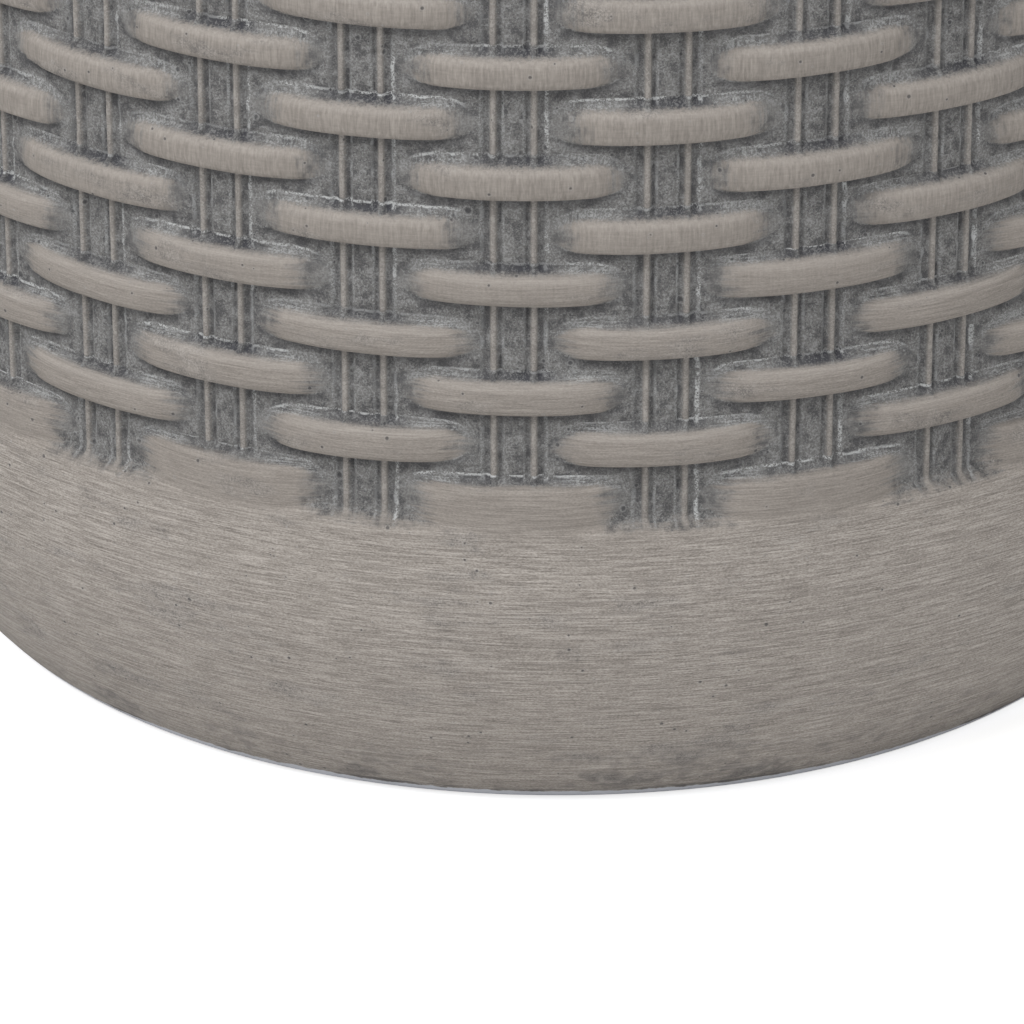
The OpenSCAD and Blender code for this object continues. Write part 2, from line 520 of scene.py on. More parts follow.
rangeOf = {
    # where each mark begins and ends, in metres from an edge or from a middle
    "coatUpperEdge": (-0.0007, 0.0007),
    "coatLowerEdge": (-0.0004, 0.0002),
    "coatEnd": (0.0215, 0.0290),
    "coatBorder": (-0.0010, 0.0026),
    "bodyUpperEdge": (-0.0002, 0.0008),
    "bodyLowerEdge": (-0.0004, 0.0002),
    "bodyEnd": (0.0285, 0.0325),
    "coverUpperEdge": (0.0004, 0.0016),
    "coverLowerEdge": (-0.0002, 0.0004),
    "coverEnd": (0.026, 0.030),
    "topHighlightStart": (-0.0030, -0.0012),
    "topHighlightEnd": (0.019, 0.029),
    "pocketStart": (-0.0001, 0.0007),
    "pocketTop": (0.0018, 0.0034),
    "pocketSide": (0.0070, 0.0135),
    "pocketEnd": (0.011, 0.016),
    "railFoot": (0.0012, 0.0034),
    "scuffStart": (-0.0012, 0.0008),
    "scuffTop": (0.0014, 0.0040),
    "scuffFrom": (0.008, 0.018),
    "scuffEnd": (0.023, 0.033),
    "edgeHighlightEnd": (0.025, 0.030),
    "underStart": (0.0, 0.0005),
    "underTop": (0.0008, 0.0034),
    "underEnd": (0.026, 0.032),
    "rightSide": (-0.001, 0.001),
    "darkSide": (-0.003, 0.004),
    "weaveBorder": (-0.001, 0.001),
    "softBorder": (-0.006, 0.004),
    "uprightBase": (rowPitch * 3.4, rowPitch * 6.4),
    "uprightTop": (rowPitch * 1.6, rowPitch * 3.6),
    "lowDarkeningHeight": (0.032, 0.006),
    # and between which values of a noise
    "toneLow": (0.36, 0.50),
    "toneHigh": (0.50, 0.66),
    "streakDark": (0.34, 0.50),
    "thinCoat": (0.54, 0.70),
    "bodyTone": (0.36, 0.64),
    "blotches": (0.50, 0.64),
    "specks": (0.50, 0.60),
    "railCoat": (0.22, 0.82),
    "railCrest": (0.70, 1.0),
    "railWorn": (0.40, 0.70),
    "scuffed": (0.46, 0.62),
    "edgeHighlightPatches": (0.42, 0.60),
    "edgeHighlightBreaks": (0.46, 0.55),
    "lowDarkeningPatches": (0.50, 0.58),
    "footWear": (0.42, 0.54),
    # weavers' own chance, and rows from the base
    "pocketChance": (-0.6, 0.5),
    "pocketRows": (-1.0, 2.0),
}


def rising(s, value, name, low=0.0):
    return s.ramp(value, *rangeOf[name], low, 1.0)


def fading(s, value, name):
    return s.fall(value, *rangeOf[name])


def withinWeave(s, height, baseName, topName):
    # 1 over the weave, with a soft border along its base and its top
    base, top = rangeOf[baseName], rangeOf[topName]
    low = s.ramp(height, weaveBase + base[0], weaveBase + base[1])
    return s.mul(low, s.fall(height, weaveTop - top[1], weaveTop - top[0]))


vectorInput = ("Vector", "NodeSocketVector", None)
scaleInput = ("Scale", "NodeSocketFloat", 1.0)


def maskOutputs(*labels):
    return [(label, "NodeSocketFloat") for label in labels]


def speckleGroup():
    outputs = maskOutputs("Dark", "Light", "Grain", "Blotch")
    tree, given, s = newTree("castSpeckle", "ShaderNodeTree", [vectorInput, scaleInput], outputs)
    scaled = vectorSum(tree, "SCALE", {0: given["Vector"], "Scale": given["Scale"]})
    fine = noise(tree, scaled, 2100.0, 2.0, 0.7)
    other = noise(tree, scaled, 1700.0, 2.0, 0.7)
    blotch = noise(tree, scaled, 260.0, 3.0, 0.6)
    dark = rising(s, s.add(fine, s.mul(s.centred(blotch), 0.6)), "specks")
    light = rising(s, s.sub(other, s.mul(s.centred(blotch), 0.4)), "specks")
    newNode(tree, "NodeGroupOutput", {"Dark": dark, "Light": light, "Grain": fine, "Blotch": blotch})
    return tree


def brushGroup():
    outputs = maskOutputs("Streak", "Fine", "Wear")
    inputs = [vectorInput, ("Upright", "NodeSocketFloat", 0.0)]
    tree, given, s = newTree("brushStrokes", "ShaderNodeTree", inputs, outputs)

    def stroke(scale, detail):
        mapped = newNode(tree, "ShaderNodeMapping", {"Vector": given["Vector"], "Scale": scale})
        return noise(tree, mapped.outputs[0], 1.0, detail, 0.65)

    def turnedBy(level, upright):
        return s.add(s.mul(level, s.inverse(given["Upright"])), s.mul(upright, given["Upright"]))

    def shared(first, second, share):
        return s.add(s.mul(first, share), s.mul(second, 1.0 - share))

    streak = turnedBy(stroke((40.0, 40.0, 900.0), 3.0), stroke((800.0, 800.0, 70.0), 3.0))
    fineLevel = shared(stroke((100.0, 100.0, 2900.0), 2.0), stroke((1400.0, 1400.0, 3600.0), 1.0), 0.58)
    fineUpright = shared(stroke((1500.0, 1500.0, 150.0), 3.0), stroke((260.0, 260.0, 1500.0), 3.0), 0.75)
    fine = turnedBy(fineLevel, fineUpright)
    wear = stroke((30.0, 30.0, 85.0), 4.0)
    newNode(tree, "NodeGroupOutput", {"Streak": streak, "Fine": fine, "Wear": wear})
    return tree


def pitGroup():
    inputs = [vectorInput, scaleInput, ("Share", "NodeSocketFloat", 0.1)]
    tree, given, s = newTree("pinholes", "ShaderNodeTree", inputs, maskOutputs("Pit", "Rim"))
    cellInputs = {"Vector": given["Vector"], "Scale": s.mul(given["Scale"], 85.0), "Randomness": 1.0}
    cells = newNode(tree, "ShaderNodeTexVoronoi", cellInputs, feature="F1").outputs
    chosen = newNode(tree, "ShaderNodeSeparateColor", {0: cells["Color"]}).outputs[0]
    pick = s.op("LESS_THAN", chosen, given["Share"])
    size = s.add(0.035, s.mul(chosen, 0.4))
    pit = s.mul(s.fall(cells["Distance"], s.mul(size, 0.6), size), pick)
    rim = s.mul(s.nearLine(cells["Distance"], s.mul(size, 1.3), 0.025), pick)
    newNode(tree, "NodeGroupOutput", {"Pit": pit, "Rim": rim})
    return tree


speckle = speckleGroup()
brush = brushGroup()
pinholes = pitGroup()


def useGroup(tree, group, inputs):
    return newNode(tree, "ShaderNodeGroup", inputs, node_tree=group).outputs


def blendColour(tree, factor, a, b):
    return newNode(tree, "ShaderNodeMix", {0: factor, 6: a, 7: b}, data_type="RGBA").outputs[2]


class Paint:
    # One colour of a material, painted over step by step

    def __init__(self, s, colour):
        self.s = s
        self.colour = colour

    def over(self, mask, amount, colour):
        # an amount or a colour given by name is looked up in strength or finish
        if isinstance(amount, str):
            amount = strength[amount]
        if isinstance(colour, str):
            colour = finish[colour]
        self.colour = blendColour(self.s.tree, self.s.mul(mask, amount), self.colour, colour)


def newMaterial(name):
    material = bpy.data.materials.new(name)
    tree = emptyTree(material)
    shader = newNode(tree, "ShaderNodeBsdfPrincipled")
    newNode(tree, "ShaderNodeOutputMaterial", {0: shader.outputs[0]})
    where = newNode(tree, "ShaderNodeTexCoord").outputs["Object"]
    return material, tree, shader, where


def dress(tree, shader, colour, roughness, relief, depth, amount=0.5):
    bump = newNode(tree, "ShaderNodeBump", {"Height": relief, "Strength": amount, "Distance": depth})
    looks = {"Base Color": colour, "Roughness": roughness, "Normal": bump.outputs[0]}
    for name, value in looks.items():
        linkOrSet(tree, shader.inputs[name], value)


def readAttribute(tree, name):
    return newNode(tree, "ShaderNodeAttribute", attribute_name=name).outputs["Fac"]


# The marks on the weave, worked out at each point

def frayed(s, spot, edge, streak=0.0, grain=0.0, blotch=0.0):
    # an edge as brush, grain and blotches leave it, each amount in metres
    for unevenness, amount in ((spot.streak, streak), (spot.grain, grain), (spot.blotch, blotch)):
        if amount:
            edge = s.add(edge, s.mul(unevenness, amount))
    return edge


def coatMask(s, spot):
    # the coat lies on faces and bands, ragged along upper edges, thin towards the ends
    upper = fading(s, frayed(s, spot, spot.above, streak=0.0018, grain=0.0010), "coatUpperEdge")
    lower = fading(s, frayed(s, spot, spot.below, grain=0.0003), "coatLowerEdge")
    face = s.mul(s.most(upper, spot.isLast), s.most(lower, spot.isFirst))
    worn = s.add(frayed(s, spot, spot.away, streak=0.016, blotch=0.006), s.mul(s.centred(spot.chance), 0.003))
    height = frayed(s, spot, spot.height, streak=0.0040, grain=0.0020, blotch=0.0050)
    onBands = s.inverse(withinWeave(s, height, "coatBorder", "coatBorder"))
    return s.most(s.mul(face, fading(s, worn, "coatEnd")), onBands)


def bodyMask(s, spot):
    # the whole weaver, coated or not
    face = s.mul(fading(s, spot.above, "bodyUpperEdge"), fading(s, spot.below, "bodyLowerEdge"))
    return s.mul(face, fading(s, frayed(s, spot, spot.away, blotch=0.004), "bodyEnd"), spot.inWeave)


def uncoveredMask(s, spot):
    # the parts of a stake that no weaver passes over
    weaver = s.mul(fading(s, spot.above, "coverUpperEdge"), fading(s, spot.below, "coverLowerEdge"))
    return s.inverse(s.mul(weaver, fading(s, spot.away, "coverEnd")))


def railMask(s, spot):
    foot = fading(s, s.size(s.sub(spot.above, 0.0005)), "railFoot")
    hidden = s.mul(fading(s, spot.away, "pocketEnd"), spot.notLast, foot)
    return s.mul(spot.railLine, spot.uncovered, spot.inWeave, s.inverse(hidden))


def topHighlightMask(s, spot):
    # painted highlight along the upper part of a weaver's face, where the brush also rubs hardest
    start = rising(s, frayed(s, spot, spot.above, streak=0.0016), "topHighlightStart")
    return s.mul(start, spot.notLast, spot.notFirst, fading(s, spot.away, "topHighlightEnd"))


def hollowShadeAndPigmentMask(s, spot):
    # painted shade in the hollow on top of a weaver, beside and between the rails, over the hollow's own dark
    # pigment; darkest on a stake's right side
    start = rising(s, frayed(s, spot, spot.above, streak=0.0020), "pocketStart")
    top = fading(s, frayed(s, spot, spot.above, grain=0.0009, blotch=0.0022), "pocketTop")
    sides = fading(s, frayed(s, spot, spot.off, blotch=0.0050), "pocketSide")
    length = s.mul(fading(s, spot.away, "pocketEnd"), spot.notLast)
    depth = s.mul(rising(s, spot.side, "darkSide", 0.7), s.inverse(s.mul(spot.railLine, 0.7)))
    often = s.mul(rising(s, spot.chance, "pocketChance"), rising(s, spot.row, "pocketRows"))
    return s.mul(start, top, sides, length, depth, often)


def scuffMask(s, spot):
    # pale rubbing on the slope above a weaver, towards its ends
    height = s.mul(rising(s, spot.above, "scuffStart"), fading(s, spot.above, "scuffTop"))
    length = s.mul(rising(s, spot.away, "scuffFrom"), fading(s, spot.away, "scuffEnd"))
    return s.mul(height, length, spot.notLast)


def edgeHighlightMask(s, spot):
    # painted highlights: pale broken lines along the stakes' edges, brighter on a stake's right side, and
    # along the upper edge above each weaver
    patchy = rising(s, s.add(spot.wear, s.mul(s.centred(spot.chance), 0.18)), "edgeHighlightPatches", 0.38)
    broken = rising(s, s.add(0.5, spot.grain, s.mul(spot.blotch, 0.8)), "edgeHighlightBreaks")
    outer = s.nearLine(frayed(s, spot, spot.off, blotch=0.0018), weave["grooveEdge"], 0.0009)
    inner = s.nearLine(frayed(s, spot, spot.off, grain=0.0009), weave["stripHalfWidth"] + 0.0002, 0.0006)
    upright = s.most(s.mul(outer, rising(s, spot.side, "rightSide", 0.45)), s.mul(inner, 0.5))
    level = s.nearLine(frayed(s, spot, spot.above, blotch=0.0018), 0.0026, 0.0006)
    level = s.mul(level, fading(s, spot.away, "edgeHighlightEnd"), spot.notLast)
    return s.mul(s.most(s.mul(upright, spot.uncovered), level), broken, patchy, spot.inWeave)


def underMask(s, spot):
    # the shade under a weaver
    top = fading(s, frayed(s, spot, spot.below, grain=0.0012), "underTop")
    height = s.mul(rising(s, spot.below, "underStart"), top)
    return s.mul(height, fading(s, spot.away, "underEnd"), spot.notFirst)


def grooveShadeMask(s, spot):
    # painted shade: dark lines in the creases along both sides of a rail
    off = frayed(s, spot, spot.off, grain=0.0009)
    lines = s.most(s.nearLine(off, 0.0035, 0.0010), s.nearLine(off, 0.0076, 0.0014))
    return s.mul(lines, spot.uncovered, spot.inWeave)


def weaveMarks(tree, s, where, specks, strokes):
    point = partsOf(tree, where)
    names = ("lift", "tilt", "fatness", "span", "chance")
    lift, tilt, fatness, span, chance = [readAttribute(tree, name) for name in names]
    spot = placeInWeave(s, point, weave)
    spot.height = point[2]
    spot.chance = chance
    spot.away = s.size(spot.along)
    spot.off = s.size(spot.side)
    across = s.sub(s.sub(spot.rise, lift), s.mul(spot.along, tilt))
    half = weaverHalfHeight(s, spot.away, span, fatness, weave)
    spot.above = s.sub(across, half)
    spot.below = s.sub(s.mul(across, -1.0), half)
    spot.blotch = s.centred(specks["Blotch"])
    spot.grain = s.centred(specks["Grain"])
    spot.streak = s.centred(strokes["Streak"])
    spot.wear = strokes["Wear"]
    spot.notFirst = s.inverse(spot.isFirst)
    spot.notLast = s.inverse(spot.isLast)
    spot.inWeave = withinWeave(s, spot.height, "weaveBorder", "weaveBorder")
    spot.uncovered = uncoveredMask(s, spot)
    spot.railLine = s.nearLine(frayed(s, spot, spot.off, grain=0.0007), weave["railGap"] / 2, 0.0015)
    masks = {"coated": coatMask, "body": bodyMask, "rail": railMask, "crown": topHighlightMask, "hollowShadeAndPigment": hollowShadeAndPigmentMask,
             "scuff": scuffMask, "seam": edgeHighlightMask, "under": underMask, "groove": grooveShadeMask}
    return {name: mask(s, spot) for name, mask in masks.items()}


def groundPaint(s, marks, where, specks, strokes):
    # everything that the recesses show, from the speckled ground up to the bubbles
    tree = s.tree
    fine = strokes["Fine"]
    grain = s.centred(specks["Grain"])
    ground = Paint(s, finish["ground"])
    ground.over(specks["Dark"], "groundDark", "groundDark")
    ground.over(specks["Light"], "groundLight", "groundLight")
    bodyTone = s.ramp(fine, *rangeOf["bodyTone"], smooth=False)
    ground.over(marks["body"], "body", blendColour(tree, bodyTone, finish["bodyDark"], finish["bodyLight"]))
    ground.over(rising(s, specks["Blotch"], "blotches"), "blotch", "groundDark")
    # painted shade in the creases beside the rails
    ground.over(marks["groove"], "groove", "groundDark")
    ground.over(marks["under"], "under", "groundDark")
    # painted shade in the hollows above the weavers, over their dark pigment
    ground.over(marks["hollowShadeAndPigment"], s.inverse(s.mul(specks["Light"], 0.5)), "hollowShadeAndPigment")
    ground.over(rising(s, s.add(marks["rail"], s.mul(grain, 2.0)), "railCoat"), "rail", "rail")
    # painted highlight along the rails' crests, broken up where the coat wears
    worn = rising(s, s.add(specks["Light"], fine), "railWorn")
    ground.over(s.mul(rising(s, marks["rail"], "railCrest"), worn), "railCrest", "taupeLight")
    scuffed = rising(s, s.add(fine, s.mul(grain, 0.7)), "scuffed")
    ground.over(s.mul(marks["scuff"], scuffed), "scuff", "paleScuffAndHighlight")
    # painted highlights along the stakes' edges and above the weavers
    ground.over(marks["seam"], "seam", "paleScuffAndHighlight")
    bubbles = useGroup(tree, pinholes, {"Vector": where, "Scale": 1.7, "Share": 0.30})
    ground.over(bubbles["Pit"], "bubble", "groundDark")
    ground.over(bubbles["Rim"], "bubbleRim", "groundLight")
    return ground


def paintFoot(s, paint, height, radius, specks, strokes):
    # darker patches low on the band, stronger towards the floor, and the bare edge of the foot, painted pale
    # with the white floor's light on it
    wear = strokes["Wear"]
    mottle = s.add(s.mul(wear, 0.55), s.mul(specks["Blotch"], 0.45), s.mul(s.centred(strokes["Fine"]), 0.30))
    # darker patches, stronger towards the floor
    smudge = s.mul(rising(s, height, "lowDarkeningHeight"), rising(s, mottle, "lowDarkeningPatches"))
    paint.over(smudge, "smudge", "groundDark")
    ragged = s.add(height, s.mul(s.centred(specks["Blotch"]), 0.0022), s.mul(s.centred(wear), 0.0030))
    edgeTop = drum["padProud"] + drum["footBevel"]
    darkLine = s.mul(s.nearLine(ragged, edgeTop + 0.0022, 0.0010), rising(s, wear, "footWear"))
    paint.over(darkLine, "darkLine", "groundDark")
    # the bare edge of the foot, painted pale with the white floor's light on it
    outside = s.op("GREATER_THAN", radius, drum["endRadius"] - drum["footBevel"])
    bareEdgeAndFloorLight = s.mul(s.fall(ragged, edgeTop + 0.0012, edgeTop + 0.0017), outside)
    paint.over(bareEdgeAndFloorLight, s.add(0.70, s.mul(strokes["Streak"], 0.5)), "bareEdgeAndFloorLight")


def slabStrokes(tree, s, where, parts, radius, specks):
    # the flat top is brushed straight across, its edge around the drum
    border = s.add(radius, s.mul(s.centred(specks["Blotch"]), 0.0015))
    pastTop = s.op("GREATER_THAN", border, drum["endRadius"] - 0.0005)
    straight = newNode(tree, "ShaderNodeCombineXYZ", {0: parts[0], 1: parts[2], 2: parts[1]}).outputs[0]
    mixed = newNode(tree, "ShaderNodeMix", {0: pastTop, 4: straight, 5: where}, data_type="VECTOR")
    return useGroup(tree, brush, {"Vector": mixed.outputs[1], "Upright": 0.0})


def drumStrokes(tree, s, where, height):
    # around on the bands and the rows beside them, upright on the rows between
    upright = s.mul(withinWeave(s, height, "uprightBase", "uprightTop"), 0.85)
    return useGroup(tree, brush, {"Vector": where, "Upright": upright})


def softerOnWeave(s, tone, height):
    # on the narrow weavers the brush leaves a softer, darker coat
    onWeave = withinWeave(s, height, "softBorder", "softBorder")
    softened = s.mul(s.centred(tone), s.inverse(s.mul(onWeave, 0.55)))
    return s.sub(s.add(0.5, softened), s.mul(onWeave, 0.056))


def coatPaint(s, tone, specks, strokes):
    # the brushed taupe, from its dark to its light strokes, thin in places
    lowTone = s.ramp(tone, *rangeOf["toneLow"], smooth=False)
    highTone = s.ramp(tone, *rangeOf["toneHigh"], smooth=False)
    coat = Paint(s, blendColour(s.tree, lowTone, finish["taupeDark"], finish["taupe"]))
    coat.over(highTone, 1.0, "taupeLight")
    coat.over(fading(s, strokes["Streak"], "streakDark"), "streak", "taupeDark")
    thin = rising(s, strokes["Wear"], "thinCoat")
    coat.over(thin, "thinCoat", "ground")
    coat.over(s.mul(thin, specks["Dark"]), "thinDark", "groundDark")
    coat.over(s.mul(thin, specks["Light"]), "thinLight", "taupeLight")
    return coat


def castMaterial(name, woven):
    material, tree, shader, where = newMaterial(name)
    s = Sums(tree)
    parts = partsOf(tree, where)
    height = parts[2]
    level = vectorSum(tree, "MULTIPLY", {0: where, 1: (1.0, 1.0, 0.0)})
    radius = newNode(tree, "ShaderNodeVectorMath", {0: level}, operation="LENGTH").outputs["Value"]
    specks = useGroup(tree, speckle, {"Vector": where, "Scale": 1.0})
    if woven:
        strokes = drumStrokes(tree, s, where, height)
        tone = softerOnWeave(s, strokes["Fine"], height)
    else:
        strokes = slabStrokes(tree, s, where, parts, radius, specks)
        tone = strokes["Fine"]
    paint = coatPaint(s, tone, specks, strokes)
    pits = useGroup(tree, pinholes, {"Vector": where, "Scale": 3.4, "Share": 0.34})
    rough = s.add(0.60, s.mul(strokes["Streak"], 0.16))
    relief = s.add(s.mul(strokes["Fine"], 0.6), s.mul(pits["Pit"], -1.6))
    if woven:
        marks = weaveMarks(tree, s, where, specks, strokes)
        # painted highlight along the upper part of each weaver's face
        paint.over(marks["crown"], "crown", "taupeLight")
        ground = groundPaint(s, marks, where, specks, strokes)
        cover = s.mul(marks["coated"], s.ramp(readAttribute(tree, "skin"), 0.97, 0.99))
        paint = Paint(s, blendColour(tree, cover, ground.colour, paint.colour))
        bare = s.inverse(cover)
        rough = s.add(rough, s.mul(bare, 0.14))
        groundRelief = s.sub(s.mul(specks["Light"], 0.6), s.mul(specks["Dark"], 0.8))
        groundRelief = s.mul(groundRelief, s.inverse(s.mul(marks["body"], 0.7)))
        relief = s.add(s.mul(relief, cover), s.mul(groundRelief, bare))
    paint.over(pits["Pit"], "pit", "groundDark")
    paint.over(pits["Rim"], "pitRim", "groundLight")
    if woven:
        paintFoot(s, paint, height, radius, specks, strokes)
    shader.inputs["Specular IOR Level"].default_value = 0.3
    dress(tree, shader, paint.colour, rough, relief, 0.0005)
    return material


castDrum = castMaterial("castDrum", True)
castSlab = castMaterial("castSlab", False)


def plainMaterial(name, values):
    material, tree, shader, where = newMaterial(name)
    s = Sums(tree)
    grain = noise(tree, where, values["grainScale"], 4.0, 0.6)
    colour = blendColour(tree, s.ramp(grain, 0.35, 0.65), values["dark"], values["light"])
    rough = s.add(values["roughness"], s.mul(s.centred(grain), 0.2))
    dress(tree, shader, colour, rough, grain, 0.0004, 0.4)
    return material


print("materials made")


# The cast drum, in eight sectors of one casting

wallSamples = {
    # places across one stake, in metres from its centre
    "across": [0.0, 0.0024, 0.0030, 0.0036, 0.0042, 0.0046, 0.0050, 0.0054, 0.0058, 0.0062, 0.0066, 0.0074,
               0.0082, 0.0088, 0.0102, 0.0125, 0.0150, 0.0178],
    # heights from a row's middle
    "up": [-0.00748, -0.0068, -0.0062, -0.0057, -0.0053, -0.0049, -0.0045, -0.0040, -0.0030, -0.0015, 0.0,
           0.0015, 0.0028, 0.0036, 0.0042, 0.0048, 0.0054, 0.0060, 0.0066, 0.00748],
    "besideWeave": [0.004, 0.0025, 0.001],      # distances from the weave, on the bands
    "bandSteps": 30,
    "innerSteps": 16,
    "sectors": 8,
    "startColumn": -2.5,
    "seamStep": 0.0008,     # first step inside a sector's end, as a share of a stake's
    "smoothAngle": 70,
    "softEdge": 0.001,
}


def wallSection():
    # closed outline of the wall, from the floor edge up the outside and down the inside
    floorZ = drum["padProud"]
    soft = wallSamples["softEdge"]
    farthest, *nearer = wallSamples["besideWeave"]
    heights = evenSteps(floorZ + drum["footBevel"], weaveBase - farthest, wallSamples["bandSteps"])
    heights += [weaveBase - d for d in nearer] + [weaveBase]
    outer = [(drum["endRadius"] - drum["footBevel"] / 2, floorZ), (drum["endRadius"], floorZ + 0.0002)]
    outer += [(radiusAt(z), z) for z in heights]
    for row in range(weave["rows"]):
        middle = weaveBase + (row + 0.5) * rowPitch
        outer += [(drum["crestRadius"], middle + up) for up in wallSamples["up"]]
    heights = [weaveTop + d for d in reversed(nearer)]
    heights += evenSteps(weaveTop + farthest, rimHeight - soft, wallSamples["bandSteps"])
    outer += [(radiusAt(z), z) for z in heights]
    outer.append((radiusAt(rimHeight) - soft, rimHeight))
    footTop = floorZ + drum["footHeight"]
    footInner = drum["endRadius"] - drum["footWidth"]
    inner = [(radiusAt(z, drum["wall"]), z) for z in evenSteps(rimHeight, footTop, wallSamples["innerSteps"])]
    inner += [(footInner + soft, footTop), (footInner, footTop - soft)]
    inner += [(footInner, floorZ + soft), (footInner + soft, floorZ)]
    return outer + inner, len(outer)


def sectorAngles(index):
    # closely spaced over each stake, and just inside the sector's ends
    step = 2 * math.pi / weave["stakes"]
    arc = drum["crestRadius"] * step
    places = [side * d / arc for side in (-1, 1) for d in wallSamples["across"] if d or side > 0]
    perSector = weave["stakes"] // wallSamples["sectors"]
    first = wallSamples["startColumn"] + index * perSector
    angles = [first * step, (first + wallSamples["seamStep"]) * step]
    for column in range(perSector):
        for place in sorted(places + [0.5]):
            angles.append((first + column + 0.5 + place) * step)
    angles.insert(-1, angles[-1] - wallSamples["seamStep"] * step)
    return angles


def wallSector(index, tree):
    angles = sectorAngles(index)
    section, skinCount = wallSection()
    count = len(section)
    verts = [(r * math.sin(a), -r * math.cos(a), z) for a in angles for r, z in section]
    faces = []
    for i in range(len(angles) - 1):
        for j in range(count):
            k = (j + 1) % count
            faces.append((i * count + j, (i + 1) * count + j, (i + 1) * count + k, i * count + k))
    last = (len(angles) - 1) * count
    faces.append(tuple(range(count)))
    faces.append(tuple(last + j for j in reversed(range(count))))
    obj = meshObject("wovenWall%d" % (index + 1), verts, faces)
    skin = obj.data.attributes.new("skin", "FLOAT", "POINT")
    values = [1.0 if j < skinCount else 0.0 for i in range(len(angles)) for j in range(count)]
    skin.data.foreach_set("value", values)
    bakeNodes(obj, tree, {**weave, "Material": castDrum})
    softenMesh(obj.data, wallSamples["smoothAngle"])
    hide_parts("woven_drum")
    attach(obj, "root")
    return obj


reliefTree = weaveTree()
walls = [wallSector(i, reliefTree) for i in range(wallSamples["sectors"])]
print("woven wall made,", sum(len(w.data.polygons) for w in walls), "faces")


# Pieces turned about the drum's axis

def turned(name, outline, material, steps):
    onAxis = 1e-6
    verts = []
    rings = []
    for r, z in outline:
        start = len(verts)
        if r < onAxis:
            rings.append([start] * steps)
            verts.append((0.0, 0.0, z))
            continue
        rings.append([start + i for i in range(steps)])
        for i in range(steps):
            a = 2 * math.pi * i / steps
            verts.append((r * math.sin(a), -r * math.cos(a), z))
    closed = outline[0][0] > onAxis
    faces = []
    for j in range(len(rings) if closed else len(rings) - 1):
        low, high = rings[j], rings[(j + 1) % len(rings)]
        for i in range(steps):
            n = (i + 1) % steps
            corners = []
            for v in (low[i], low[n], high[n], high[i]):
                if v not in corners:
                    corners.append(v)
            if len(corners) > 2:
                faces.append(tuple(corners))
    obj = meshObject(name, verts, faces)
    obj.data.materials.append(material)
    return obj


def arcPoints(centre, radius, start, end, count):
    return [(centre[0] + radius * math.cos(a), centre[1] + radius * math.sin(a))
            for a in evenSteps(math.radians(start), math.radians(end), count)]


# The top slab, with its register ring below

slab = {
    "softEdge": 0.0012,
    "underRing": 0.020,     # first ring round the centre, below and on top
    "topRing": 0.012,
    "underSteps": 6,
    "edgeSteps": 12,
    "roundSteps": 8,
    "topSteps": 14,
    "around": 256,
}


def slabOutline():
    edge = drum["slabEdge"]
    lift = drum["curveHeight"] - edge
    run = math.sqrt((curveRadius - edge) ** 2 - lift ** 2)
    centre = (curveCentre + run, highCurve + lift)
    tangent = math.degrees(math.atan2(lift, run))
    touch = highCurve + curveRadius * math.sin(math.radians(tangent))
    outer = radiusAt(rimHeight, drum["wall"]) - drum["registerGap"]
    inner = outer - drum["registerWidth"]
    low = slabBottom - drum["registerHeight"]
    soft = slab["softEdge"]
    points = [(0.0, slabBottom)]
    points += [(r, slabBottom) for r in evenSteps(slab["underRing"], inner - 0.002, slab["underSteps"])]
    points += [(inner, slabBottom - 0.001), (inner, low + soft), (inner + soft, low)]
    points += [(outer - soft, low), (outer, low + soft), (outer, slabBottom)]
    points += [(radiusAt(slabBottom) - soft, slabBottom)]
    points += [(radiusAt(z), z) for z in evenSteps(slabBottom + soft, touch, slab["edgeSteps"])]
    points += arcPoints(centre, edge, tangent, 90.0, slab["roundSteps"])[1:]
    points += [(r, tableHeight) for r in evenSteps(centre[0] - 0.004, slab["topRing"], slab["topSteps"])]
    points.append((0.0, tableHeight))
    return points


topSlab = turned("topSlab", slabOutline(), castSlab, slab["around"])
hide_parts("table_top")
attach(topSlab, "root")

# The adhesive, drawn in a little between wall and slab

adhesive = {
    "dark": (0.13, 0.13, 0.14, 1.0),
    "light": (0.20, 0.20, 0.21, 1.0),
    "roughness": 0.5,
    "grainScale": 260.0,
    "drawnIn": 0.0006,
    "innerGap": 0.0002,
    "around": 256,
}


def glueOutline():
    inside = drum["wall"]
    outside = drum["bedInset"]
    return [
        (radiusAt(rimHeight, inside) + adhesive["innerGap"], rimHeight),
        (radiusAt(rimHeight, outside), rimHeight),
        (radiusAt(rimHeight, outside) - adhesive["drawnIn"], (rimHeight + slabBottom) / 2),
        (radiusAt(slabBottom, outside), slabBottom),
        (radiusAt(slabBottom, inside) + adhesive["innerGap"], slabBottom),
    ]


glue = turned("glueLine", glueOutline(), plainMaterial("glueGrey", adhesive), adhesive["around"])
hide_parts("adhesive_bed")
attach(glue, "root")

# The lining, from the foot ring up to the register

cloth = {
    "threadsAround": 360.0,     # per radian
    "threadsUp": 1900.0,        # per metre
    "dark": (0.24, 0.24, 0.23, 1.0),
    "light": (0.40, 0.40, 0.38, 1.0),
    "slurry": (0.33, 0.32, 0.30, 1.0),
    "speck": (0.15, 0.15, 0.15, 1.0),
    "slurryScale": 22.0,
    "slurryEdge": (0.45, 0.62),
    "roughness": 0.85,
    "upSteps": 24,
    "around": 192,
}


